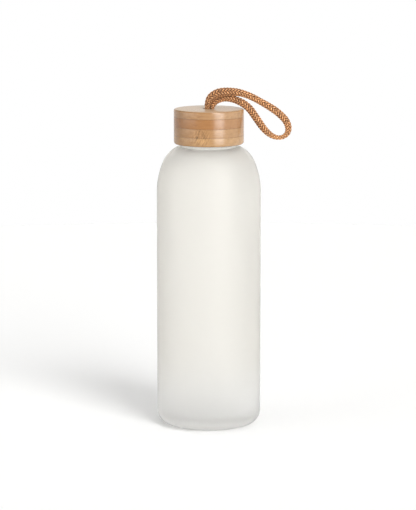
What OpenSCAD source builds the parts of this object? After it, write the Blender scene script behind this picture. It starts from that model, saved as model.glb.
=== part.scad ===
// Frosted glass water bottle with a laminated bamboo screw cap and a braided carry loop.
// Millimetres. The origin is the centre of the base, +Z is up, and the loop lies towards +X.
// The cap is held by a right-hand thread: it rises one pitch for each turn anticlockwise.

/* [Bottle] */
// Outside diameter of the glass barrel
body_d = 75; // [73:0.5:78]
// Height at which the straight barrel turns into the shoulder
barrel_top = 170; // [120:5:220]
// Thickness of the glass wall
wall = 2.6; // [2.3:0.1:2.9]
// Thickness of the glass floor at its edge
base_t = 8; // [5:0.5:10]
// Radius of the outside corner at the foot
foot_corner_r = 10; // [8:0.5:12]
// Radius of the inside corner of the floor
floor_corner_r = 8; // [6:0.5:10]
// Diameter of the hollow under the base
punt_d = 44; // [30:1:50]
// Depth of the hollow under the base
punt_h = 2; // [1:0.5:3]
// Radius of the long, lower arc of the shoulder
shoulder_r = 54; // [52:0.5:56]
// Angle through which the lower arc turns
shoulder_turn = 24; // [22:0.5:26]
// Radius of the tighter arc that closes the shoulder in to the neck
dome_r = 21.5; // [21:0.25:22]
// Angle at which the dome begins to level off towards the neck
level_turn = 60; // [58:0.5:62]
// Radius of the small arc that levels it off
level_r = 5; // [4:0.5:6]

/* [Neck] */
// Outside diameter of the neck between the threads
neck_d = 39.4; // [39:0.1:39.6]
// Inside diameter of the mouth
mouth_d = 33.6; // [33:0.1:34]
// Height of the neck above the shoulder
neck_h = 10.5; // [10.4:0.1:10.8]
// Rounding of the rim
rim_r = 1.2; // [0.6:0.1:1.4]
// Rounding of the throat inside, where the neck opens into the bottle
throat_r = 2; // [1.5:0.5:2.5]
// Outside diameter over the glass thread
thread_d = 42; // [41.4:0.1:42.2]
// Rise of the thread in one turn
pitch = 4; // [3.8:0.1:4.2]
// Number of turns of the glass thread
neck_turns = 1.25; // [1:0.05:1.3]
// Height of the thread's start above the foot of the neck
thread_lift = 2.8; // [2.6:0.1:3]

/* [Cap] */
// Outside diameter of the bamboo cap
cap_d = 50.4; // [49.5:0.1:51]
// Thickness of the four bamboo boards, from the lowest to the top one
board_t = [6.4, 6.3, 7, 5.5];
// Gap between the shoulder and the cap
cap_gap = 2.1; // [2:0.1:2.4]
// Rounding of the cap's top edge
cap_top_r = 1.2; // [0.8:0.1:1.6]
// Rounding of the cap's bottom edge
cap_bottom_r = 1.6; // [1:0.1:2]
// Diameter of the hole that the cord comes out of
cord_hole_d = 8.2; // [8.2:0.1:9]
// Diameter of the pocket that holds the knot
pocket_d = 22; // [18:1:26]

/* [Liner and seal] */
// Outside diameter of the threaded liner
liner_d = 45; // [44.8:0.1:45.4]
// Inside diameter of the liner's skirt
liner_bore_d = 42.6; // [42.5:0.1:42.8]
// Diameter inside the liner's thread
liner_thread_d = 40.2; // [40.2:0.1:40.6]
// Thickness of the liner's top disc
liner_top_t = 2.1; // [1.5:0.1:2.2]
// Height of the liner's edge above the bottom of the bamboo
liner_recess = 0.4; // [0.2:0.1:0.6]
// Thickness of the glue line between liner and bamboo
glue_t = 0.1; // [0.1:0.05:0.2]
// Thickness of the silicone seal
seal_t = 1.4; // [1.2:0.1:1.5]

/* [Cord] */
// Diameter of the braided cord
cord_d = 4.6; // [4.2:0.1:4.7]
// Diameter of one leg where the hole squeezes it
cord_tight_d = 3.7; // [3.4:0.1:3.7]
// Diameter of the knot
knot_d = 15.6; // [14:0.2:18]
// Height of the knot
knot_h = 6.8; // [6.4:0.1:7]

/* [Hidden] */

$fn = 96;
bury = 0.4;                 // how far a thread's root is sunk into the wall behind it
face_gap = 0.05;            // free play between faces of pieces that turn on each other
glass_colour = [0.93, 0.93, 0.91, 0.6];
bamboo_colours = [[0.84, 0.66, 0.46], [0.82, 0.64, 0.44], [0.76, 0.56, 0.34], [0.83, 0.67, 0.48]];
cord_colour = [0.69, 0.47, 0.30];

body_r = body_d / 2;
neck_r = neck_d / 2;
mouth_r = mouth_d / 2;
cap_r = cap_d / 2;

// The shoulder is three arcs, and each is tangent to the next on the ray that they share.
shoulder_c = [body_r - shoulder_r, barrel_top];
dome_c = shoulder_c + (shoulder_r - dome_r) * [cos(shoulder_turn), sin(shoulder_turn)];
level_c = dome_c + (dome_r - level_r) * [cos(level_turn), sin(level_turn)];
neck_base = level_c[1] + level_r;
rim = neck_base + neck_h;

// Heights in the cap. The disc of the liner rests on the seal, and the seal on the rim.
cap_base = neck_base + cap_gap;
seal_base = rim + face_gap;
liner_base = cap_base + liner_recess;
disc_base = seal_base + seal_t + face_gap;
liner_top = disc_base + liner_top_t;
seams = [
    cap_base,
    cap_base + board_t[0],
    cap_base + board_t[0] + board_t[1],
    cap_base + board_t[0] + board_t[1] + board_t[2],
    cap_base + board_t[0] + board_t[1] + board_t[2] + board_t[3]
];
cap_top = seams[4];

// The two threads follow the same helix, half a pitch apart.
thread_step = 10;
thread_fade = 30;
thread_root_w = 2.3;
thread_crest_w = 1.1;
neck_thread_z = neck_base + thread_lift;
liner_thread_z = neck_thread_z + pitch / 2;
liner_thread_start = -90;
liner_thread_end = 330;

// The liner holds its seal between a lip outside and a ring that dips into the mouth.
seal_d = [mouth_d - 0.2, 41.8];
lip_d = 41.4;
lip_h = 0.6;
plug_d = [30, 32.8];
plug_h = 3;

knot_top = seams[3] - 0.5;
knot_base = knot_top - knot_h;

// The cord's route, from the knot out of the hole, round the loop and back to the knot, as
// x, y and the height above the cap's top. The loop stands in the XZ plane. One leg is in front
// of the other where they leave the hole.
hidden_leg = knot_top - cap_top;
loop_points = [
    [-1, -1.6, hidden_leg], [-1, -1.6, 0.2], [-1.1, -1.8, 2.2], [-0.6, -2, 4.7],
    [0.3, -2, 6.7], [2, -2, 8.7], [4.6, -2, 10.5], [7.8, -2, 11.7], [11, -1.9, 12.2],
    [17, -1.6, 12.2], [22, -1.2, 11.6], [27, -0.8, 10.1], [32, -0.6, 7.9], [37, -0.5, 5.2],
    [42, -0.3, 2.3], [47, -0.1, -0.9], [51.6, 0, -4.6], [55.4, 0, -8.9], [57.1, 0, -13.4],
    [56.5, 0, -17.5], [53.8, 0, -20.1], [50.2, 0, -20.9], [46.4, 0, -20], [42.8, 0, -17.7],
    [39.4, 0, -14.3], [36.1, 0, -9.8], [32.9, 0, -5.1], [29.7, 0.2, -0.7], [26.2, 0.5, 2.6],
    [21.7, 0.8, 5.2], [16.5, 1, 7], [11, 1.2, 7.4], [7.7, 1.2, 6.6], [4.8, 1.2, 4.9],
    [3.1, 1, 2.9], [2.3, 0.7, 1.4], [2.1, 0.5, 0], [2.1, 0.5, hidden_leg]
];
route = [for (p = loop_points) [p[0], p[1], cap_top + p[2]]];
split_out = 8;              // the point at which the bending loop begins
split_back = 31;            // the point at which it ends
cord_sides = 10;
join_gap = 0.1;

function arc(centre, r, from, to, steps) =
    [for (i = [0 : steps])
        let (a = from + (to - from) * i / steps)
        centre + r * [cos(a), sin(a)]];

function unit(v) = v / norm(v);

// Triangulated skin of a stack of rings that are closed by a flat cap at each end.
function skin_faces(rings, sides) = concat(
    [[for (j = [0 : sides - 1]) j]],
    [for (i = [0 : rings - 2], j = [0 : sides - 1])
        let (k = (j + 1) % sides)
        [i * sides + k, i * sides + j, (i + 1) * sides + j]],
    [for (i = [0 : rings - 2], j = [0 : sides - 1])
        let (k = (j + 1) % sides)
        [i * sides + k, (i + 1) * sides + j, (i + 1) * sides + k]],
    [[for (j = [sides - 1 : -1 : 0]) (rings - 1) * sides + j]]);

// Outline of the glass: out along the base, up the outside, over the rim and down the inside.
function glass_outline() = let (
        punt_r = (punt_d * punt_d / 4 + punt_h * punt_h) / (2 * punt_h),
        punt_edge = acos(punt_d / 2 / punt_r),
        floor_r = body_r - wall - floor_corner_r)
    concat(
        arc([0, punt_h - punt_r], punt_r, 90, punt_edge, 4),
        arc([body_r - foot_corner_r, foot_corner_r], foot_corner_r, -90, 0, 9),
        arc(shoulder_c, shoulder_r, 0, shoulder_turn, 6),
        arc(dome_c, dome_r, shoulder_turn + 4, level_turn, 8),
        arc(level_c, level_r, level_turn + 6, 90, 4),
        [[neck_r, neck_base]],
        arc([neck_r - rim_r, rim - rim_r], rim_r, 0, 90, 4),
        arc([mouth_r + rim_r, rim - rim_r], rim_r, 90, 180, 4),
        arc([mouth_r + throat_r, neck_base - wall + throat_r], throat_r, 180, 270, 4),
        arc(level_c, level_r - wall, 90, level_turn + 6, 3),
        arc(dome_c, dome_r - wall, level_turn, shoulder_turn + 4, 8),
        arc(shoulder_c, shoulder_r - wall, shoulder_turn, 0, 6),
        arc([floor_r, base_t + floor_corner_r], floor_corner_r, 0, -90, 7),
        [[0, base_t]]);

// Outline of the whole bamboo blank, with its two rounded edges.
function cap_outline() = concat(
    [[0, cap_base]],
    arc([cap_r - cap_bottom_r, cap_base + cap_bottom_r], cap_bottom_r, -90, 0, 5),
    arc([cap_r - cap_top_r, cap_top - cap_top_r], cap_top_r, 0, 90, 5),
    [[0, cap_top]]);

// A helical ridge whose height fades out at both ends. A crest inside its root makes the
// thread of a nut, and the order of the section's points turns round with it.
module ridge(root_r, crest_r, z0, from, to) {
    outward = crest_r > root_r;
    sunk_r = outward ? root_r - bury : root_r + bury;
    steps = round((to - from) / thread_step);
    fade_steps = thread_fade / thread_step;
    hidden = outward ? -0.1 : 0.1;
    points = [for (i = [0 : steps])
        let (
            a = from + (to - from) * i / steps,
            z = z0 + pitch * a / 360,
            fade = min(1, i / fade_steps, (steps - i) / fade_steps),
            r = root_r + hidden + (crest_r - root_r - hidden) * fade,
            section = [[sunk_r, -thread_root_w / 2], [r, -thread_crest_w / 2],
                       [r, thread_crest_w / 2], [sunk_r, thread_root_w / 2]])
        for (q = outward ? [section[3], section[2], section[1], section[0]] : section)
            [q[0] * cos(a), q[0] * sin(a), z + q[1]]];
    polyhedron(points, skin_faces(steps + 1, 4));
}

// A tube along part of the cord's route. The legs are thinner where the hole squeezes them.
module cord_tube(first, last, shift_first = 0, shift_last = 0) {
    points = [for (i = [first : last])
        let (
            before = route[max(i - 1, 0)],
            after = route[min(i + 1, len(route) - 1)],
            t = unit(after - before),
            side = unit(cross(t, [0, 1, 0])),
            lift = cross(t, side),
            r = abs(route[i][0]) > 4 ? cord_d / 2
                : lookup(route[i][2], [[cap_top + 1, cord_tight_d / 2], [cap_top + 6, cord_d / 2]]),
            p = route[i] + t * (i == first ? shift_first : i == last ? -shift_last : 0))
        for (j = [0 : cord_sides - 1])
            let (a = 360 * j / cord_sides)
            p + r * (cos(a) * side + sin(a) * lift)];
    polyhedron(points, skin_faces(last - first + 1, cord_sides));
}

// A board cut from the blank between two seams, with a round hole in it.
module board(index, hole_r) {
    rotate_extrude()
        intersection() {
            polygon(cap_outline());
            translate([hole_r, seams[index]])
                square([cap_r, seams[index + 1] - seams[index]]);
        }
}

module glass_bottle() {
    color(glass_colour) {
        rotate_extrude() polygon(glass_outline());
        ridge(neck_r, thread_d / 2, neck_thread_z, 0, neck_turns * 360);
    }
}

// The lowest board is a plain ring around the liner.
module cap_board_1() {
    color(bamboo_colours[0]) board(0, liner_d / 2 + glue_t);
}

// The second board has the shoulder that the liner's disc is glued against.
module cap_board_2() {
    bore_h = liner_top + glue_t - seams[1];
    color(bamboo_colours[1])
        difference() {
            board(1, pocket_d / 2);
            translate([0, 0, seams[1] - 1])
                cylinder(h = bore_h + 1, d = liner_d + 2 * glue_t);
        }
}

// The third board goes round the knot.
module cap_board_3() {
    color(bamboo_colours[2]) board(2, pocket_d / 2);
}

// The top board closes the pocket, and the cord comes out of its hole.
module cap_board_4() {
    color(bamboo_colours[3]) board(3, cord_hole_d / 2);
}

module thread_liner() {
    disc_r = liner_d / 2;
    color([0.95, 0.95, 0.93]) {
        rotate_extrude() {
            difference() {
                translate([0, liner_base]) square([disc_r, liner_top - liner_base]);
                translate([-1, liner_base - 1])
                    square([liner_bore_d / 2 + 1, disc_base - liner_base + 1]);
            }
            translate([lip_d / 2, seal_base - lip_h - face_gap])
                square([(liner_bore_d - lip_d) / 2 + bury, lip_h]);
            translate([plug_d[0] / 2, disc_base - plug_h])
                square([(plug_d[1] - plug_d[0]) / 2, plug_h + 1]);
        }
        ridge(liner_bore_d / 2, liner_thread_d / 2, liner_thread_z,
              liner_thread_start, liner_thread_end);
    }
}

module seal_ring() {
    color([0.85, 0.86, 0.86])
        translate([0, 0, seal_base])
            difference() {
                cylinder(h = seal_t, d = seal_d[1]);
                translate([0, 0, -1]) cylinder(h = seal_t + 2, d = seal_d[0]);
            }
}

// A plain solid of the outer shape of the knot that joins the two ends of the cord.
module cord_knot() {
    knot_round = 3;
    color(cord_colour)
        rotate_extrude()
            polygon(concat(
                [[0, knot_base]],
                arc([knot_d / 2 - knot_round, knot_base + knot_round], knot_round, -90, 0, 5),
                arc([knot_d / 2 - knot_round, knot_top - knot_round], knot_round, 0, 90, 5),
                [[0, knot_top]]));
}

// The two legs of the cord, from the knot to the top of the arch.
module loop_root() {
    color(cord_colour) {
        cord_tube(0, split_out);
        cord_tube(split_back, len(route) - 1);
    }
}

// The rest of the same cord: the loop that lies over the cap's edge and can be lifted.
module carry_loop() {
    color(cord_colour) cord_tube(split_out, split_back, join_gap, join_gap);
}

glass_bottle();
cap_board_1();
cap_board_2();
cap_board_3();
cap_board_4();
thread_liner();
seal_ring();
cord_knot();
loop_root();
carry_loop();
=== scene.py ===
"""Looks of the frosted glass water bottle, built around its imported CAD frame. Metres, +Z up."""
import math
import random

import bmesh
import bpy
import numpy as np
from mathutils.kdtree import KDTree
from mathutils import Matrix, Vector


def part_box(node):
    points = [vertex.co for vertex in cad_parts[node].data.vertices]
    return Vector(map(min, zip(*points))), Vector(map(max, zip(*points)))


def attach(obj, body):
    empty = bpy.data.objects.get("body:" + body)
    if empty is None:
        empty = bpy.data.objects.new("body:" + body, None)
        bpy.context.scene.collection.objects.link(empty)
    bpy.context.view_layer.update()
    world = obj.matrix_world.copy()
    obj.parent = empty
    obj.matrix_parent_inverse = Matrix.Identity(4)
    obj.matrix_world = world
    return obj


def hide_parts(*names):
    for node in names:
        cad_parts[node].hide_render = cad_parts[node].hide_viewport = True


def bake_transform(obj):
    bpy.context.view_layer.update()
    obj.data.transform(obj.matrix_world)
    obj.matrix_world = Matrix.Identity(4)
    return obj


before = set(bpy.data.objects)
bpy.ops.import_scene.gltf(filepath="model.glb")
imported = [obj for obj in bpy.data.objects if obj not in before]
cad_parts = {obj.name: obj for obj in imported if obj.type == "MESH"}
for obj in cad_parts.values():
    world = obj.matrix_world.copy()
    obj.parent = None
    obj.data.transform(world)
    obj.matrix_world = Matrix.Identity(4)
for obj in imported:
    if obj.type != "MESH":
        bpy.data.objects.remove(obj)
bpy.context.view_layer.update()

MM = 0.001

# ---------------------------------------------------------------- camera

CAMERA_DISTANCE = 1.9098
CAMERA_HEIGHT = 0.4284
CAMERA_SIDE = -0.0006
LOOK_DOWN_DEG = 9.072
LENS_MM = 188.6
SENSOR_MM = 36.0


def make_camera():
    data = bpy.data.cameras.new("camera")
    data.lens = LENS_MM
    data.sensor_width = SENSOR_MM
    camera = bpy.data.objects.new("camera", data)
    camera.location = (CAMERA_SIDE, -CAMERA_DISTANCE, CAMERA_HEIGHT)
    camera.rotation_euler = (math.radians(90 - LOOK_DOWN_DEG), 0, 0)
    bpy.context.scene.collection.objects.link(camera)
    bpy.context.scene.camera = camera


# ---------------------------------------------------------------- shader helpers


class Nodes:
    """Adds nodes to a tree. An input is given as a value or as another node's output."""

    def __init__(self, tree):
        self.tree = tree
        tree.nodes.clear()

    def add(self, kind, inputs=(), **settings):
        node = self.tree.nodes.new("ShaderNode" + kind)
        for key, value in settings.items():
            setattr(node, key, value)
        for key, value in dict(inputs).items():
            if isinstance(value, bpy.types.NodeSocket):
                self.tree.links.new(value, node.inputs[key])
            else:
                node.inputs[key].default_value = value
        return node

    def math(self, operation, a, b=0.0, c=0.0):
        return self.add("Math", {0: a, 1: b, 2: c}, operation=operation).outputs[0]

    def times(self, a, b):
        return self.math("MULTIPLY", a, b)

    def vector(self, operation, a, b):
        return self.add("VectorMath", {0: a, 1: b}, operation=operation).outputs[0]

    def distance(self, a, b):
        return self.add("VectorMath", {0: a, 1: b}, operation="DISTANCE").outputs["Value"]

    def step(self, value, low, high):
        """A smooth step from 0 at low to 1 at high."""
        node = self.add(
            "MapRange",
            {"Value": value, "From Min": low, "From Max": high},
            interpolation_type="SMOOTHSTEP",
        )
        return node.outputs["Result"]

    def between(self, value, low, high):
        """Low where the value is 0.3 or less, high where it is 0.7 or more: for a noise."""
        ends = {"Value": value, "From Min": 0.3, "From Max": 0.7, "To Min": low, "To Max": high}
        return self.add("MapRange", ends).outputs[0]

    def noise(self, vector, scale, detail=3.0, roughness=0.5, distortion=0.0):
        node = self.add(
            "TexNoise",
            {
                "Vector": vector,
                "Scale": scale,
                "Detail": detail,
                "Roughness": roughness,
                "Distortion": distortion,
            },
        )
        return node.outputs["Fac"]

    def stretch(self, vector, scale, shift=(0, 0, 0)):
        node = self.add("Mapping", {"Vector": vector, "Scale": scale, "Location": shift})
        return node.outputs["Vector"]

    def mix(self, factor, a, b, blend="MIX"):
        node = self.add("Mix", {0: factor, 6: a, 7: b}, data_type="RGBA", blend_type=blend)
        return node.outputs[2]

    def ramp(self, value, stops):
        node = self.add("ValToRGB", {"Fac": value})
        ramp = node.color_ramp
        while len(ramp.elements) < len(stops):
            ramp.elements.new(0.5)
        for element, (place, colour) in zip(ramp.elements, stops):
            element.position = place
            element.color = (*colour, 1)
        return node.outputs["Color"]

    def bump(self, height, strength, distance):
        node = self.add("Bump", {"Height": height, "Strength": strength, "Distance": distance})
        return node.outputs["Normal"]


def new_material(name):
    material = bpy.data.materials.new(name)
    material.use_nodes = True
    return material, Nodes(material.node_tree)


def finish_material(nodes, inputs):
    """Ends a material's tree in one principled shader."""
    shader = nodes.add("BsdfPrincipled", inputs)
    nodes.add("OutputMaterial", {"Surface": shader.outputs[0]})


# ---------------------------------------------------------------- mesh helpers


def new_object(name, points, faces, material, smooth_deg=40):
    mesh = bpy.data.meshes.new(name)
    mesh.from_pydata(points.tolist(), [], faces)
    mesh.materials.append(material)
    obj = bpy.data.objects.new(name, mesh)
    bpy.context.scene.collection.objects.link(obj)
    tidy_normals(mesh)
    mesh.polygons.foreach_set("use_smooth", [True] * len(mesh.polygons))
    mesh.set_sharp_from_angle(angle=math.radians(smooth_deg))
    return obj


def tidy_normals(mesh):
    work = bmesh.new()
    work.from_mesh(mesh)
    bmesh.ops.recalc_face_normals(work, faces=work.faces)
    work.to_mesh(mesh)
    work.free()


def arc(centre, radius, start_deg, end_deg, steps):
    """Points (radius, height) along an arc."""
    angles = np.radians(np.linspace(start_deg, end_deg, steps + 1))
    return [(centre[0] + radius * math.cos(a), centre[1] + radius * math.sin(a)) for a in angles]


def rounded(corners, steps=6):
    """Closed outline through corners (radius, height, rounding), each rounded by an arc."""
    points = []
    for i, (r, z, rounding) in enumerate(corners):
        here = np.array([r, z])
        back = np.array(corners[i - 1][:2]) - here
        ahead = np.array(corners[(i + 1) % len(corners)][:2]) - here
        back /= np.linalg.norm(back)
        ahead /= np.linalg.norm(ahead)
        half = math.acos(np.clip(back @ ahead, -1, 1)) / 2
        centre = here + (back + ahead) / np.linalg.norm(back + ahead) * rounding / math.sin(half)
        first = here + back * rounding / math.tan(half) - centre
        last = here + ahead * rounding / math.tan(half) - centre
        start = math.atan2(first[1], first[0])
        turn = math.atan2(last[1], last[0]) - start
        turn = (turn + math.pi) % (2 * math.pi) - math.pi
        for k in range(steps + 1):
            a = start + turn * k / steps
            points.append((centre[0] + rounding * math.cos(a), centre[1] + rounding * math.sin(a)))
    return points


def turned(name, outline, material, segments=256, reshape=None):
    """A body turned about Z. An outline (radius, height) that begins on the axis also ends on it,
    and any other is closed. reshape(radius, height, angle) gives the final radius and height."""
    outline = np.array(outline)
    on_axis = outline[0][0] < 1e-7
    rings = outline[1:-1] if on_axis else outline
    angle = np.linspace(0, 2 * math.pi, segments, endpoint=False)
    r = np.repeat(rings[:, :1], segments, axis=1)
    z = np.repeat(rings[:, 1:], segments, axis=1)
    a = np.repeat(angle[None, :], len(rings), axis=0)
    if reshape:
        r, z = reshape(r, z, a)
    points = np.stack([r * np.cos(a), r * np.sin(a), z], axis=2).reshape(-1, 3)
    faces = []
    for i in range(len(rings) - (1 if on_axis else 0)):
        low = i * segments
        high = (i + 1) % len(rings) * segments
        for j in range(segments):
            k = (j + 1) % segments
            faces.append((low + j, low + k, high + k, high + j))
    if on_axis:
        poles = [(0, 0, outline[0][1]), (0, 0, outline[-1][1])]
        first, last = len(points), len(points) + 1
        points = np.vstack([points, poles])
        top = (len(rings) - 1) * segments
        for j in range(segments):
            k = (j + 1) % segments
            faces.append((first, k, j))
            faces.append((last, top + j, top + k))
    return new_object(name, points, faces, material)


def thread_height(z, angle, z0, start_deg, end_deg):
    """Height, from 0 to 1, of a helical ridge at each point of a round wall."""
    height = np.zeros_like(z)
    for turn in (-360, 0, 360):
        along = np.degrees(angle) + turn
        centre = z0 + THREAD_PITCH * along / 360
        side = (THREAD_ROOT_W / 2 - np.abs(z - centre)) / ((THREAD_ROOT_W - THREAD_CREST_W) / 2)
        fade = np.minimum(along - start_deg, end_deg - along) / THREAD_FADE_DEG
        ridge = soft(np.clip(side, 0, 1)) * soft(np.clip(fade, 0, 1))
        height = np.maximum(height, ridge)
    return height


def soft(t):
    """Smooth step of a number from 0 to 1."""
    return t * t * (3 - 2 * t)


# ---------------------------------------------------------------- the frame's places

body_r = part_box("glass_bottle")[1].x
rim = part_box("glass_bottle")[1].z
cap_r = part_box("cap_board_1")[1].x
seams = [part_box("cap_board_%d" % i)[0].z for i in (1, 2, 3, 4)] + [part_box("cap_board_4")[1].z]
cap_base, cap_top = seams[0], seams[4]


def bore_radius(node):
    """Smallest distance of a CAD node's surface from the axis of the bottle."""
    return min(math.hypot(v.co.x, v.co.y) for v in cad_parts[node].data.vertices)


# ---------------------------------------------------------------- cord

CARRIERS = 8                # yarns that wind each way round the braid
CORE_SIDES, YARN_SIDES = 16, 8
YARN_FILL = 0.50            # half a yarn's width as a share of the room that it has
YARN_HALF_T = 0.46 * MM
YARN_RISE = 0.26 * MM       # how far a yarn rises and dips as it passes over and under
BRAID_LEAD = 17 * MM        # length of cord in which a yarn goes once round
HALF_CROSSING = BRAID_LEAD / (2 * CARRIERS) / 2   # step between the rings of a yarn
FLOAT_TONE_SCALE = 0.45     # changes of a yarn's tone per millimetre of its length
YARN_TONE_APART = 53        # keeps one yarn's changes of tone apart from another's
YARN_TWIST_LEAD = 6 * MM    # length in which a yarn's fibres go once round it
OVER_UNDER_STAY = 1.25      # above 1, a yarn stays fully over or under for longer
KNOT_CORD_R = 1.62 * MM     # radius of the cord where it is pulled tight in the knot
CREASE_REACH = 5.5 * MM     # how far another stretch of the cord is looked for
CREASE_APART = 12 * MM      # how far along the cord it has to be
CREASE_GAP = 1.7 * MM       # the gap at which painted shade begins in a crease between the two

knot_low, knot_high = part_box("cord_knot")
knot_top = knot_high.z

# The route of the cord's middle, which is part.scad's route in metres: x, y and the height
# above the cap's top.
HIDDEN_LEG = knot_top - cap_top
LOOP_POINTS = [
    (-0.001, -0.0016, HIDDEN_LEG), (-0.001, -0.0016, 0.0002), (-0.0011, -0.0018, 0.0022),
    (-0.0006, -0.002, 0.0047), (0.0003, -0.002, 0.0067), (0.002, -0.002, 0.0087),
    (0.0046, -0.002, 0.0105), (0.0078, -0.002, 0.0117), (0.011, -0.0019, 0.0122),
    (0.017, -0.0016, 0.0122), (0.022, -0.0012, 0.0116), (0.027, -0.0008, 0.0101),
    (0.032, -0.0006, 0.0079), (0.037, -0.0005, 0.0052), (0.042, -0.0003, 0.0023),
    (0.047, -0.0001, -0.0009), (0.0516, 0, -0.0046), (0.0554, 0, -0.0089),
    (0.0571, 0, -0.0134), (0.0565, 0, -0.0175), (0.0538, 0, -0.0201), (0.0502, 0, -0.0209),
    (0.0464, 0, -0.02), (0.0428, 0, -0.0177), (0.0394, 0, -0.0143), (0.0361, 0, -0.0098),
    (0.0329, 0, -0.0051), (0.0297, 0.0002, -0.0007), (0.0262, 0.0005, 0.0026),
    (0.0217, 0.0008, 0.0052), (0.0165, 0.001, 0.007), (0.011, 0.0012, 0.0074),
    (0.0077, 0.0012, 0.0066), (0.0048, 0.0012, 0.0049), (0.0031, 0.001, 0.0029),
    (0.0023, 0.0007, 0.0014), (0.0021, 0.0005, 0), (0.0021, 0.0005, HIDDEN_LEG),
]
ROUTE = [(x, y, cap_top + height) for x, y, height in LOOP_POINTS]

# The braid is a little oval and rolls as it goes round the loop:
# (millimetres along the cord from the hole, width in the plane of the loop, width across it).
CORD_WIDTHS = [
    (-6, 3.8, 3.8), (1, 3.8, 3.8), (4, 4.4, 3.8), (9, 6.2, 3.7), (15, 6.7, 3.6), (25, 6.2, 3.7),
    (34, 5.3, 4.0), (46, 5.1, 4.2), (58, 5.6, 4.2), (70, 5.5, 4.2), (75, 5.0, 4.4), (79, 4.4, 4.6),
    (83, 3.5, 4.8), (87, 3.3, 4.9), (90, 3.8, 4.9), (94, 4.5, 4.7), (98, 5.1, 4.5),
    (105, 5.6, 4.2), (114, 5.8, 4.0), (122, 5.8, 3.9), (130, 5.4, 3.9), (140, 5.1, 3.9),
    (147, 4.3, 3.8), (151, 3.6, 3.7), (163, 3.6, 3.7),
]


def smooth_path(points, step):
    """Evenly spaced points on a smooth curve through the given points."""
    p = np.array(points, float)
    at = np.concatenate([[0], np.cumsum(np.linalg.norm(np.diff(p, axis=0), axis=1))])
    slope = np.gradient(p, at, axis=0)
    fine = np.linspace(0, at[-1], len(p) * 60)
    i = np.clip(np.searchsorted(at, fine, side="right") - 1, 0, len(p) - 2)
    width = at[i + 1] - at[i]
    t = ((fine - at[i]) / width)[:, None]
    width = width[:, None]
    curve = (
        (2 * t**3 - 3 * t**2 + 1) * p[i]
        + (t**3 - 2 * t**2 + t) * width * slope[i]
        + (3 * t**2 - 2 * t**3) * p[i + 1]
        + (t**3 - t**2) * width * slope[i + 1]
    )
    length = np.concatenate([[0], np.cumsum(np.linalg.norm(np.diff(curve, axis=0), axis=1))])
    even = np.linspace(0, length[-1], int(round(length[-1] / step)) + 1)
    return np.stack([np.interp(even, length, curve[:, k]) for k in range(3)], axis=1), even


def unit(v):
    return v / np.linalg.norm(v, axis=-1, keepdims=True)


def tube(centre, across, out, half_w, half_t, sides, first_index):
    """Points and faces of a closed tube with an oval section in the directions across and out,
    and the angles of its points round the section."""
    turn = np.linspace(0, 2 * math.pi, sides, endpoint=False)
    ring = (
        half_w[:, None, None] * np.cos(turn)[None, :, None] * across[:, None, :]
        + half_t * np.sin(turn)[None, :, None] * out[:, None, :]
    )
    points = (centre[:, None, :] + ring).reshape(-1, 3)
    return points, tube_faces(len(centre), sides, first_index), turn


def tube_faces(rings, sides, first_index=0):
    """Faces of a closed tube whose points are numbered ring by ring from first_index."""
    faces = []
    for i in range(rings - 1):
        for j in range(sides):
            k = (j + 1) % sides
            low, high = first_index + i * sides, first_index + (i + 1) * sides
            faces.append((low + j, low + k, high + k, high + j))
    last = first_index + (rings - 1) * sides
    faces.append(tuple(first_index + j for j in reversed(range(sides))))
    faces.append(tuple(last + j for j in range(sides)))
    return faces


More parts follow.
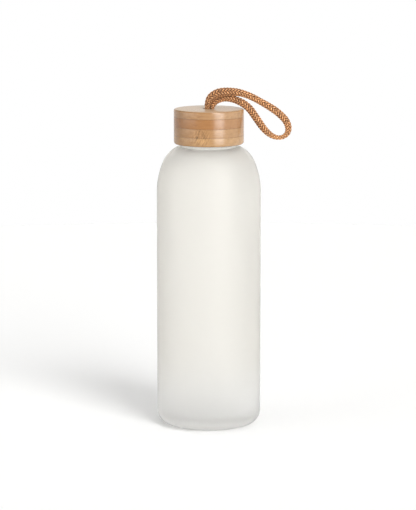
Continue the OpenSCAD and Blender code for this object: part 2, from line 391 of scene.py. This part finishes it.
def braid(name, path, along, half_a, half_b, plane_normal, material, seed):
    """A round 2/2 braid of real yarns over a core. half_a and half_b are its half widths at each
    point of the path, in the plane that has plane_normal and across it."""
    tangent = unit(np.gradient(path, axis=0))
    side = unit(np.cross(tangent, np.array(plane_normal, float)))
    lift = np.cross(tangent, side)
    cover = YARN_HALF_T + YARN_RISE

    def surface(angle, sunk):
        return (
            path
            + ((half_a - sunk) * np.cos(angle))[:, None] * side
            + ((half_b - sunk) * np.sin(angle))[:, None] * lift
        )

    rng = random.Random(seed)
    core_angle = np.linspace(0, 2 * math.pi, CORE_SIDES, endpoint=False)
    core_sunk = 2 * cover - 0.1 * MM
    core = np.stack([surface(np.full(len(path), a), core_sunk) for a in core_angle], axis=1)
    count = len(path) * CORE_SIDES
    points, faces = [core.reshape(-1, 3)], tube_faces(len(path), CORE_SIDES)
    yarn, tone, crown = [np.zeros((count, 3))], [np.zeros(count)], [np.zeros(count)]

    girth = 2 * math.pi * ((half_a + half_b) / 2 - cover)
    half_w = YARN_FILL * girth / CARRIERS * BRAID_LEAD / np.hypot(BRAID_LEAD, girth)
    crossing = 2 * CARRIERS * along / BRAID_LEAD
    for way in (1, -1):
        for n in range(CARRIERS):
            angle = way * 2 * math.pi * along / BRAID_LEAD + 2 * math.pi * n / CARRIERS
            # A yarn is over where its place in the four-crossing repeat says so, and yarns that
            # wind the other way are then under it.
            phase = (crossing + 2 * n if way > 0 else 2 * n - crossing) % 4
            wave = np.cos((phase - 0.5) * math.pi / 2) * way
            wave = np.clip(OVER_UNDER_STAY * wave, -1, 1)
            middle = surface(angle, cover - YARN_RISE * wave)
            run = unit(np.gradient(middle, axis=0))
            out = unit(middle - path)
            across = unit(np.cross(run, out))
            out = np.cross(across, run)
            p, f, turn = tube(middle, across, out, half_w, YARN_HALF_T, YARN_SIDES, count)
            points.append(p)
            faces.extend(f)
            count += len(p)
            twist = turn[None, :] + (along / YARN_TWIST_LEAD * 2 * math.pi)[:, None]
            length = np.repeat((along / MM)[:, None], len(turn), axis=1)
            yarn.append(np.stack([length, np.cos(twist), np.sin(twist)], axis=2).reshape(-1, 3))
            tone.append(np.full(len(p), rng.random()))
            # crown, the height of each point of a yarn, is what the cord's colour paints shade on
            # the flanks and highlights on the crests from
            height = YARN_RISE * wave[:, None] + YARN_HALF_T * np.sin(turn)[None, :]
            crown.append((0.5 + 0.5 * height / cover).ravel())
    points = np.vstack(points)
    obj = new_object(name, points, faces, material, smooth_deg=60)
    mesh = obj.data
    crease = crease_depth(points, path, along, (half_a + half_b) / 2)
    yarn_layer = mesh.attributes.new("yarn", "FLOAT_VECTOR", "POINT")
    yarn_layer.data.foreach_set("vector", np.vstack(yarn).ravel().astype(np.float32))
    for layer_name, values in (("tone", tone), ("crown", crown), ("crease", [crease])):
        layer = mesh.attributes.new(layer_name, "FLOAT", "POINT")
        layer.data.foreach_set("value", np.concatenate(values).astype(np.float32))
    return obj


def crease_depth(points, path, along, half):
    """How deep, from 0 to 1, each point lies between two stretches of the cord that touch: the
    cord's colour paints shade there from it.
    """
    tree = KDTree(len(path))
    for i, place in enumerate(path):
        tree.insert(place, i)
    tree.balance()
    painted_shade_and_highlight = np.zeros(len(points))
    for n, point in enumerate(points):
        own = tree.find(point)[1]
        near = [gap - half[i] for _, i, gap in tree.find_range(point, CREASE_REACH)
                if abs(along[i] - along[own]) > CREASE_APART]
        if near:
            painted_shade_and_highlight[n] = np.clip((CREASE_GAP - min(near)) / CREASE_GAP, 0, 1)
    return painted_shade_and_highlight


def cord_material():
    """Satin yarn: fine twisted fibres, each yarn and each of its floats with a tone of its own,
    with painted shade where a yarn dips into the braid and in creases where two stretches of the
    cord touch, and painted highlights on the yarns' crests."""
    material, nodes = new_material("braided_cord")
    yarn = nodes.add("Attribute", attribute_name="yarn").outputs["Vector"]
    tone = nodes.add("Attribute", attribute_name="tone").outputs["Fac"]
    crown = nodes.add("Attribute", attribute_name="crown").outputs["Fac"]
    crease = nodes.add("Attribute", attribute_name="crease").outputs["Fac"]
    length = nodes.add("SeparateXYZ", {0: yarn}).outputs[0]
    float_place = nodes.add("CombineXYZ", {0: nodes.times(length, FLOAT_TONE_SCALE),
                                           1: nodes.times(tone, YARN_TONE_APART)})
    floats = nodes.noise(float_place.outputs[0], 1.0, 1)
    fibre = nodes.noise(nodes.stretch(yarn, (0.35, 1.6, 1.6)), 2.6, 3, 0.6)
    colour = nodes.ramp(fibre, [(0.25, (0.34, 0.143, 0.047)), (0.5, (0.48, 0.216, 0.079)),
                                (0.78, (0.625, 0.33, 0.142))])
    # Painted shade on the yarns' flanks where they dip into the braid, and painted highlights on
    # their crests
    painted_shade_and_highlight = nodes.ramp(crown, [(0.55, (0.10, 0.07, 0.05)), (0.78, (0.46, 0.39, 0.33)),
                               (0.90, (0.92, 0.90, 0.86)), (1.0, (1.55, 1.8, 2.2))])
    colour = nodes.mix(1.0, colour, painted_shade_and_highlight, "MULTIPLY")
    # Painted shade in the creases where two stretches of the cord touch
    shadow = nodes.times(nodes.step(crease, 0.25, 0.95), 0.96)
    level = nodes.times(nodes.between(floats, 0.62, 1.42), nodes.math("SUBTRACT", 1.0, shadow))
    tint = nodes.add("CombineColor", {0: level, 1: level, 2: level}).outputs[0]
    colour = nodes.mix(1.0, colour, tint, "MULTIPLY")
    finish_material(nodes, {
        "Base Color": colour,
        "Roughness": 0.42,
        "Sheen Weight": 0.2,
        "Sheen Roughness": 0.4,
        "Sheen Tint": (1.0, 0.85, 0.7, 1),
        "Normal": nodes.bump(fibre, 0.5, 0.06 * MM),
    })
    return material


def widths_at(along):
    """Half widths of the cord, in the plane of the loop and across it."""
    table = np.array(CORD_WIDTHS)
    place = (along + HIDDEN_LEG) / MM
    return (
        np.interp(place, table[:, 0], table[:, 1]) * MM / 2,
        np.interp(place, table[:, 0], table[:, 2]) * MM / 2,
    )


def make_cord(material):
    path, along = smooth_path(ROUTE, HALF_CROSSING)
    half_a, half_b = widths_at(along)
    cord = braid("braided_loop", path, along, half_a, half_b, (0, 1, 0), material, 7)
    knot = make_knot(material)
    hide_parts("loop_root", "carry_loop")
    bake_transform(cord)


def make_knot(material):
    """The two ends of the cord tied in one tight overhand knot."""
    middle = (knot_low.z + knot_high.z) / 2
    ring_r = (knot_high.x - KNOT_CORD_R) / 3
    rise = (knot_high.z - knot_low.z) / 2 - KNOT_CORD_R
    t = np.linspace(0, 2 * math.pi, 120)
    points = np.stack([
        ring_r * (2 + np.cos(3 * t)) * np.cos(2 * t),
        ring_r * (2 + np.cos(3 * t)) * np.sin(2 * t),
        middle + rise * np.sin(3 * t),
    ], axis=1)
    path, along = smooth_path(points, HALF_CROSSING)
    half = np.full(len(path), KNOT_CORD_R)
    knot = braid("stopper_knot", path, along, half, half, (0, 0, 1), material, 11)
    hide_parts("cord_knot")
    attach(knot, "swivel")
    return knot


# ---------------------------------------------------------------- glass bottle

WALL = 2.6 * MM
FLOOR_T = 8 * MM
FOOT_R = 10 * MM
FLOOR_CORNER_R = 8 * MM
PUNT_R, PUNT_H = 22 * MM, 2 * MM
BARREL_TOP = 170 * MM
SHOULDER_R, SHOULDER_TURN_DEG = 54 * MM, 24
DOME_R = 21.5 * MM
LEVEL_TURN_DEG, LEVEL_R = 60, 5 * MM
NECK_R, MOUTH_R = 19.7 * MM, 16.8 * MM
THROAT_R = 2 * MM
RIM_R = 1.2 * MM
NECK_FILLET = 0.7 * MM
THREAD_R = 21 * MM
THREAD_PITCH = 4 * MM
THREAD_ROOT_W, THREAD_CREST_W = 2.3 * MM, 1.1 * MM
THREAD_FADE_DEG = 30
THREAD_ROW = 0.16 * MM      # height of one row of faces on a threaded wall
NECK_THREAD_DEG = (0, 450)
LINER_THREAD_DEG = (-90, 330)
BARREL_GLASS = (0.945, 0.928, 0.888, 1)
# Lighter glass colours at the foot and just below the neck: painted light over the shade there
FOOT_GLASS_PAINTED_LIGHT = (1.0, 0.996, 0.985, 1)
CROWN_GLASS_PAINTED_LIGHT = (1.0, 0.985, 0.95, 1)
THREAD_LIFT = 2.8 * MM      # height of the glass thread's start above the foot of the neck


def on_ray(centre, distance, angle_deg):
    """The point (radius, height) at a distance from a centre, in a direction."""
    angle = math.radians(angle_deg)
    return (centre[0] + distance * math.cos(angle), centre[1] + distance * math.sin(angle))


# The shoulder is three arcs, and each is tangent to the next on the ray that they share.
shoulder_c = (body_r - SHOULDER_R, BARREL_TOP)
dome_c = on_ray(shoulder_c, SHOULDER_R - DOME_R, SHOULDER_TURN_DEG)
level_c = on_ray(dome_c, DOME_R - LEVEL_R, LEVEL_TURN_DEG)
neck_base = level_c[1] + LEVEL_R
neck_thread_z = neck_base + THREAD_LIFT


def frosted_glass():
    """Acid-etched glass, warmer and darker where the wall is thin and plain. In the thick foot and
    at the top of the shoulder by the neck
    its colour is lighter: painted light that offsets the shade of the thick foot and of the cap
    there."""
    material, nodes = new_material("frosted_glass")
    place = nodes.add("TexCoord").outputs["Object"]
    height = nodes.add("SeparateXYZ", {0: place}).outputs[2]
    # Painted light: the foot and the top of the shoulder get a lighter colour than the barrel
    foot = nodes.step(height, 55 * MM, 12 * MM)
    crown = nodes.step(height, neck_base - 12 * MM, neck_base - 2 * MM)
    colour = nodes.mix(foot, BARREL_GLASS, FOOT_GLASS_PAINTED_LIGHT)
    colour = nodes.mix(crown, colour, CROWN_GLASS_PAINTED_LIGHT)
    grain = nodes.noise(place, 5200, 2, 0.6)
    cloud = nodes.noise(place, 38, 3, 0.55)
    finish_material(nodes, {
        "Base Color": colour,
        "Roughness": nodes.between(cloud, 0.68, 0.76),
        "IOR": 1.5,
        "Transmission Weight": 0.86,
        "Normal": nodes.bump(grain, 0.25, 0.02 * MM),
    })
    return material


def clear_glass():
    material, nodes = new_material("clear_glass")
    place = nodes.add("TexCoord").outputs["Object"]
    waves = nodes.noise(place, 45, 2)
    finish_material(nodes, {
        "Base Color": (0.99, 0.995, 0.99, 1),
        "Roughness": 0.06,
        "IOR": 1.5,
        "Transmission Weight": 1.0,
        "Normal": nodes.bump(waves, 0.3, 0.3 * MM),
    })
    return material


def make_bottle():
    punt_r = (PUNT_R**2 + PUNT_H**2) / (2 * PUNT_H)
    punt_edge = math.degrees(math.acos(PUNT_R / punt_r))
    floor_r = body_r - WALL - FLOOR_CORNER_R
    neck_levels = np.arange(neck_base + NECK_FILLET + 0.1 * MM, rim - RIM_R, THREAD_ROW)
    outside = (
        arc((0, PUNT_H - punt_r), punt_r, 90, punt_edge, 14)
        + [(body_r - FOOT_R - 2 * MM, 0)]
        + arc((body_r - FOOT_R, FOOT_R), FOOT_R, -90, 0, 24)
        + [(body_r, z) for z in np.linspace(FOOT_R, BARREL_TOP, 12)[1:-1]]
        + arc(shoulder_c, SHOULDER_R, 0, SHOULDER_TURN_DEG, 16)
        + arc(dome_c, DOME_R, SHOULDER_TURN_DEG + 2, LEVEL_TURN_DEG, 18)
        + arc(level_c, LEVEL_R, LEVEL_TURN_DEG + 4, 90, 8)
        + arc((NECK_R + NECK_FILLET, neck_base + NECK_FILLET), NECK_FILLET, 270, 180, 6)
        + [(NECK_R, z) for z in neck_levels]
        + arc((NECK_R - RIM_R, rim - RIM_R), RIM_R, 0, 90, 8)
    )
    inside = (
        arc((MOUTH_R + RIM_R, rim - RIM_R), RIM_R, 90, 180, 8)
        + arc((MOUTH_R + THROAT_R, neck_base - WALL + THROAT_R), THROAT_R, 180, 270, 8)
        + arc(level_c, LEVEL_R - WALL, 90, LEVEL_TURN_DEG + 4, 6)
        + arc(dome_c, DOME_R - WALL, LEVEL_TURN_DEG, SHOULDER_TURN_DEG + 2, 18)
        + arc(shoulder_c, SHOULDER_R - WALL, SHOULDER_TURN_DEG, 0, 14)
        + [(body_r - WALL, z) for z in np.linspace(BARREL_TOP, FLOOR_T + FLOOR_CORNER_R, 8)[1:-1]]
        + arc((floor_r, FLOOR_T + FLOOR_CORNER_R), FLOOR_CORNER_R, 0, -90, 14)
        + [(floor_r * 0.6, FLOOR_T), (floor_r * 0.3, FLOOR_T), (0, FLOOR_T)]
    )
    wall_r = NECK_R - 0.01 * MM
    neck_low, neck_top = neck_base + NECK_FILLET, rim - RIM_R

    def add_thread(r, z, angle):
        on_neck = (np.abs(r - NECK_R) < 0.05 * MM) & (z > neck_low) & (z < neck_top)
        ridge = thread_height(z, angle, neck_thread_z, *NECK_THREAD_DEG)
        return np.where(on_neck, r + (THREAD_R - wall_r) * ridge, r), z

    bottle = turned("frosted_bottle", outside + inside, frosted_glass(), 360, add_thread)
    bottle.data.materials.append(clear_glass())
    mark_inside(bottle.data)
    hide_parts("glass_bottle")
    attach(bottle, "bottle")


def mark_inside(mesh):
    """Gives the clear glass to the faces that look into the bottle."""
    for face in mesh.polygons:
        c = face.center
        r = math.hypot(c.x, c.y)
        inward = r > 1e-6 and (face.normal.x * c.x + face.normal.y * c.y) / r < -0.05
        on_floor = abs(c.z - FLOOR_T) < 0.1 * MM and r < body_r - WALL - FLOOR_CORNER_R / 2
        if (inward and c.z > FLOOR_T - 0.1 * MM and r < body_r - WALL / 2) or on_floor:
            face.material_index = 1


# ---------------------------------------------------------------- bamboo cap

ARRIS = 0.09 * MM           # eased edge at each glue seam
HOLE_EDGE_R = 0.6 * MM
CAP_TOP_R, CAP_BOTTOM_R = 1.2 * MM, 1.6 * MM
GLUE_T = 0.1 * MM

# Mixed into the +X side of the boards, towards the key light: a painted sheen, standing in for the
# haze of the lacquer's reflection
PAINTED_SHEEN_COLOUR = (0.55, 0.45, 0.33, 1)
# Colour of the cap's top face: lighter than the sides, painted light that stands in for the
# grazing reflection of the bright backdrop
PAINTED_TOP_LIGHT = (1.0, 0.75, 0.50, 1)
# The figure that a node of the culm leaves on the front of the cap. Millimetres, with x from
# the axis and heights above the cap's base.
NODE_X = -5
FIGURE_X, FIGURE_HEIGHT = -5.6, 6.4
FIGURE_LEAN_DEG = -22
KNOTS = [
    # x, height and radius
    (-8.5, 7.0, 1.0), (-6.9, 11.5, 0.5), (-4.6, 11.2, 0.4),
]


def bamboo(name, low, high, light, dark, seed, figure):
    """Bamboo with its grain along X. low and high are the heights of the board's seams.
    figure is 1 in the boards that show the culm's node, and 0 in the others."""
    material, nodes = new_material(name)
    place = nodes.add("TexCoord").outputs["Object"]
    place = nodes.stretch(place, (1 / MM, 1 / MM, 1 / MM))
    axes = nodes.add("SeparateXYZ", {0: place}).outputs
    grain_place = near_node(nodes, place, axes, figure)
    shift = (seed * 7.3, seed * 3.1, seed * 5.7)
    lines = nodes.noise(nodes.stretch(grain_place, (0.02, 1.5, 2.1), shift), 1.0, 4, 0.62)
    strips = nodes.noise(nodes.stretch(grain_place, (0.016, 0.5, 0.75), shift), 1.0, 2, 0.6)
    bands = nodes.noise(nodes.stretch(grain_place, (0.012, 0.22, 0.3), shift), 1.0, 2)
    rods = nodes.add(
        "TexVoronoi",
        {"Vector": nodes.stretch(grain_place, (0.01, 1.35, 1.35), shift), "Scale": 1.0},
        feature="F1",
    ).outputs["Distance"]
    rods = nodes.step(rods, 0.30, 0.10)
    tone = nodes.math("ADD", nodes.times(lines, 0.4), nodes.times(strips, 0.45))
    tone = nodes.math("ADD", tone, nodes.times(bands, 0.25))
    colour = nodes.ramp(tone, [(0.4, dark), (0.54, mid(light, dark, 0.6)), (0.7, light)])
    colour = nodes.mix(nodes.times(rods, 0.14), colour, (*shade(dark, 0.62), 1))
    if figure:
        colour = add_figure(nodes, colour, place, axes, light, dark)
    # Painted sheen: the +X side, towards the key light, is made paler as if it reflected that
    # light
    painted_sheen_share = nodes.times(nodes.step(axes[0], 2.0, 16.0), 0.14)
    colour = nodes.mix(painted_sheen_share, colour, PAINTED_SHEEN_COLOUR)
    # Painted shade: the -X side, away from the key light, is made darker
    darker = nodes.times(nodes.step(axes[0], -12.0, -24.0), 0.4)
    colour = nodes.mix(darker, colour, (*shade(dark, 0.7), 1))
    # Painted light: the up-facing top is lightened as if it reflected the backdrop
    up = nodes.add("SeparateXYZ", {0: nodes.add("TexCoord").outputs["Normal"]}).outputs[2]
    on_top = nodes.step(up, 0.8, 0.98)
    colour = nodes.mix(nodes.times(on_top, 0.95), colour, PAINTED_TOP_LIGHT)
    edge = nodes.math("MINIMUM", nodes.math("SUBTRACT", axes[2], low / MM),
                      nodes.math("SUBTRACT", high / MM, axes[2]))
    glue = nodes.step(edge, 0.36, 0.06)
    colour = nodes.mix(nodes.times(glue, 0.52), colour, (*shade(dark, 0.55), 1))
    pores = nodes.math("SUBTRACT", lines, nodes.times(rods, 0.5))
    rough = nodes.add("MapRange", {"Value": lines, "To Min": 0.18, "To Max": 0.32}).outputs[0]
    rough = nodes.math("ADD", rough, nodes.times(on_top, 0.04))
    finish_material(nodes, {
        "Base Color": colour,
        "Roughness": rough,
        "Specular IOR Level": 0.9,
        "Normal": nodes.bump(pores, 0.25, 0.03 * MM),
    })
    return material


def near_node(nodes, place, axes, figure):
    """The place whose grain is shown here: the grain wanders near the culm's node."""
    from_node = nodes.math("ABSOLUTE", nodes.math("SUBTRACT", axes[0], NODE_X))
    strength = nodes.times(nodes.times(nodes.step(from_node, 8.0, 3.5), figure), 9.0)
    wander = nodes.add("TexNoise", {"Vector": place, "Scale": 0.42, "Detail": 2.0})
    wander = nodes.vector("SUBTRACT", wander.outputs["Color"], (0.5, 0.5, 0.5))
    wander = nodes.add("VectorMath", {0: wander, "Scale": strength}, operation="SCALE")
    return nodes.vector("ADD", place, wander.outputs[0])


def add_figure(nodes, colour, place, axes, light, dark):
    """The node of the culm, on the front of the cap: short fine streaks that lean, and knots."""
    front = nodes.step(axes[1], -10.0, -16.0)
    flat = nodes.add("CombineXYZ", {0: axes[0], 2: axes[2]}).outputs[0]
    flat = nodes.stretch(flat, (1, 1, 1), (0, 0, -cap_base / MM))
    away = nodes.distance(flat, (FIGURE_X, 0, FIGURE_HEIGHT))
    mask = nodes.times(nodes.step(away, 9.0, 3.0), front)
    leaning = nodes.add("VectorRotate", {"Vector": place, "Angle": math.radians(FIGURE_LEAN_DEG)},
                        rotation_type="Y_AXIS").outputs[0]
    streaks = nodes.noise(nodes.stretch(leaning, (1.4, 0.3, 0.26)), 1.0, 2, 0.5, 0.5)
    darker = nodes.times(nodes.step(streaks, 0.50, 0.36), mask)
    lighter = nodes.times(nodes.step(streaks, 0.50, 0.64), mask)
    colour = nodes.mix(nodes.times(darker, 0.6), colour, (*shade(dark, 0.66), 1))
    colour = nodes.mix(nodes.times(lighter, 0.8), colour, (*shade(light, 1.25), 1))
    for x, height, radius in KNOTS:
        away = nodes.distance(flat, (x, 0, height))
        knot = nodes.times(nodes.step(away, radius * 1.7, radius * 0.3), front)
        colour = nodes.mix(nodes.times(knot, 0.62), colour, (*shade(dark, 0.42), 1))
    return colour


def mid(a, b, t):
    """Between two colours: a where t is 1 and b where it is 0."""
    return tuple(x * t + y * (1 - t) for x, y in zip(a, b))


def shade(colour, factor):
    return tuple(x * factor for x in colour)


BOARD_LOOKS = [
    # light colour, dark colour, seed, 1 if the board shows the culm's node
    ((0.41, 0.228, 0.086), (0.28, 0.139, 0.042), 1, 1.0),
    ((0.37, 0.188, 0.064), (0.25, 0.117, 0.030), 2, 1.0),
    ((0.325, 0.136, 0.028), (0.24, 0.092, 0.015), 3, 0.0),
    ((0.385, 0.205, 0.079), (0.27, 0.132, 0.043), 4, 0.0),
]


def make_boards():
    liner_bore = bore_radius("cap_board_1")
    pocket = bore_radius("cap_board_3")
    hole = bore_radius("cap_board_4")
    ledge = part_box("thread_liner")[1].z + GLUE_T
    outlines = [
        [(liner_bore, seams[0], 0.3 * MM), (cap_r, seams[0], CAP_BOTTOM_R),
         (cap_r, seams[1], ARRIS), (liner_bore, seams[1], ARRIS)],
        [(liner_bore, seams[1], ARRIS), (cap_r, seams[1], ARRIS), (cap_r, seams[2], ARRIS),
         (pocket, seams[2], ARRIS), (pocket, ledge, 0.2 * MM), (liner_bore, ledge, 0.2 * MM)],
        [(pocket, seams[2], ARRIS), (cap_r, seams[2], ARRIS), (cap_r, seams[3], ARRIS),
         (pocket, seams[3], ARRIS)],
        [(hole, seams[3], 0.3 * MM), (cap_r, seams[3], ARRIS), (cap_r, seams[4], CAP_TOP_R),
         (hole, seams[4], HOLE_EDGE_R)],
    ]
    for i, outline in enumerate(outlines):
        light, dark, seed, figure = BOARD_LOOKS[i]
        name = "bamboo_board_%d" % (i + 1)
        material = bamboo(name, seams[i], seams[i + 1], light, dark, seed, figure)
        board = turned(name, rounded(outline), material)
        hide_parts("cap_board_%d" % (i + 1))
        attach(board, "cap")


# ---------------------------------------------------------------- liner and seal

LINER_BORE_R = 21.3 * MM
LINER_THREAD_R = 20.1 * MM
LIP_R = 20.7 * MM
LIP_H = 0.6 * MM
PLUG_IN_R, PLUG_OUT_R, PLUG_H = 15 * MM, 16.4 * MM, 3 * MM
DISC_T = 2.1 * MM


def white_plastic():
    material, nodes = new_material("white_plastic")
    place = nodes.add("TexCoord").outputs["Object"]
    orange_peel = nodes.noise(place, 900, 2)
    cloud = nodes.noise(place, 60, 2)
    colour = nodes.ramp(cloud, [(0.3, (0.80, 0.80, 0.77)), (0.7, (0.86, 0.86, 0.84))])
    finish_material(nodes, {
        "Base Color": colour,
        "Roughness": 0.38,
        "Subsurface Weight": 0.25,
        "Subsurface Radius": (0.002, 0.002, 0.002),
        "Subsurface Scale": 0.5,
        "Normal": nodes.bump(orange_peel, 0.15, 0.03 * MM),
    })
    return material


def silicone():
    material, nodes = new_material("silicone")
    place = nodes.add("TexCoord").outputs["Object"]
    dust = nodes.noise(place, 1500, 3, 0.6)
    colour = nodes.ramp(dust, [(0.3, (0.70, 0.72, 0.73)), (0.7, (0.80, 0.82, 0.82))])
    finish_material(nodes, {
        "Base Color": colour,
        "Roughness": 0.55,
        "Subsurface Weight": 0.5,
        "Subsurface Radius": (0.003, 0.003, 0.003),
        "Subsurface Scale": 0.5,
        "Normal": nodes.bump(dust, 0.2, 0.02 * MM),
    })
    return material


def make_liner():
    low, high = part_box("thread_liner")
    disc_base = high.z - DISC_T
    lip_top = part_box("seal_ring")[0].z - 0.05 * MM
    outer = high.x
    thread_z = neck_thread_z + THREAD_PITCH / 2
    edge, rim_edge = 0.2 * MM, 0.3 * MM
    levels = np.arange(low.z + rim_edge, lip_top - LIP_H - 0.1 * MM, THREAD_ROW)
    outline = (
        [(0, high.z), (outer - rim_edge, high.z)]
        + [(outer, high.z - rim_edge), (outer, low.z + rim_edge)]
        + [(outer - rim_edge, low.z), (LINER_BORE_R + edge, low.z)]
        + [(LINER_BORE_R, z) for z in levels]
        + [(LIP_R + edge, lip_top - LIP_H), (LIP_R, lip_top - LIP_H + edge)]
        + [(LIP_R, lip_top - edge), (LIP_R + edge, lip_top)]
        + [(LINER_BORE_R, lip_top), (LINER_BORE_R, disc_base)]
        + [(PLUG_OUT_R, disc_base), (PLUG_OUT_R, disc_base - PLUG_H + 2 * edge)]
        + [(PLUG_OUT_R - 2 * edge, disc_base - PLUG_H), (PLUG_IN_R + edge, disc_base - PLUG_H)]
        + [(PLUG_IN_R, disc_base - PLUG_H + edge), (PLUG_IN_R, disc_base), (0, disc_base)]
    )

    def add_thread(r, z, angle):
        in_bore = (np.abs(r - LINER_BORE_R) < 0.01 * MM) & (z < lip_top - LIP_H)
        ridge = thread_height(z, angle, thread_z, *LINER_THREAD_DEG)
        return np.where(in_bore, r - (LINER_BORE_R - LINER_THREAD_R) * ridge, r), z

    liner = turned("threaded_liner", outline, white_plastic(), 256, add_thread)
    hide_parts("thread_liner")
    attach(liner, "cap")


def make_seal():
    low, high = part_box("seal_ring")
    inner, edge = bore_radius("seal_ring"), 0.25 * MM
    outline = rounded([(inner, low.z, edge), (high.x, low.z, edge), (high.x, high.z, edge),
                       (inner, high.z, edge)], 4)
    seal = turned("silicone_seal", outline, silicone(), 192)
    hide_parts("seal_ring")
    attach(seal, "seal")


# ---------------------------------------------------------------- studio

TABLE_R, TABLE_SIDES = 1.0, 128
FLOOR_Z = -0.0001           # just under the foot, so that the two never share a plane


def make_floor():
    material, nodes = new_material("studio_floor")
    place = nodes.add("TexCoord").outputs["Object"]
    speck = nodes.noise(place, 400, 2)
    colour = nodes.ramp(speck, [(0.0, (0.975, 0.983, 0.99)), (1.0, (0.987, 0.995, 1.0))])
    finish_material(nodes, {"Base Color": colour, "Roughness": 0.9, "Specular IOR Level": 0.2})
    angle = np.linspace(0, 2 * math.pi, TABLE_SIDES, endpoint=False)
    x, y = TABLE_R * np.cos(angle), TABLE_R * np.sin(angle)
    edge = np.stack([x, y, np.full(TABLE_SIDES, FLOOR_Z)], axis=1)
    floor = new_object("studio_floor", edge, [tuple(range(TABLE_SIDES))], material)


AMBIENT = 0.32
# A softbox: azimuth from the camera's side towards +X, half width, lowest and highest
# elevation (degrees), softness of its edges and radiance.
SOFTBOXES = [
    (28, 14, 15, 60, 10, 6.6),
    (35, 15, -15, 16, 6, 4.2),
    (180, 180, -30, 20, 15, 0.65),
    (-67, 25, -5, 30, 15, 1.2),
    (180, 180, 60, 91, 12, 0.9),
]


def make_world():
    world = bpy.data.worlds.new("studio")
    bpy.context.scene.world = world
    world.use_nodes = True
    nodes = Nodes(world.node_tree)
    direction = nodes.add("TexCoord").outputs["Generated"]
    axes = nodes.add("SeparateXYZ", {0: direction}).outputs
    azimuth = nodes.math("ARCTAN2", axes[0], nodes.times(axes[1], -1.0))
    elevation = nodes.math("ARCSINE", axes[2])
    light = AMBIENT
    for centre, half, low, high, edge, radiance in SOFTBOXES:
        away = nodes.math("SUBTRACT", azimuth, math.radians(centre))
        away = nodes.math("ABSOLUTE", nodes.math("WRAP", away, math.pi, -math.pi))
        side = nodes.step(away, math.radians(half + edge / 2), math.radians(half - edge / 2))
        bottom = nodes.step(elevation, math.radians(low - edge / 2), math.radians(low + edge / 2))
        top = nodes.step(elevation, math.radians(high + edge / 2), math.radians(high - edge / 2))
        patch = nodes.times(nodes.times(side, bottom), top)
        light = nodes.math("ADD", light, nodes.times(patch, radiance))
    seen = nodes.add("LightPath").outputs["Is Camera Ray"]
    strength = nodes.math("MAXIMUM", light, seen)
    colour = nodes.mix(seen, (1.0, 0.99, 0.975, 1), (1.0, 1.0, 1.0, 1))
    background = nodes.add("Background", {"Color": colour, "Strength": strength})
    nodes.add("OutputWorld", {"Surface": background.outputs[0]})


# ---------------------------------------------------------------- build

make_camera()
make_cord(cord_material())
make_bottle()
make_boards()
make_liner()
make_seal()
make_floor()
make_world()
bpy.context.scene.view_settings.view_transform = "Standard"
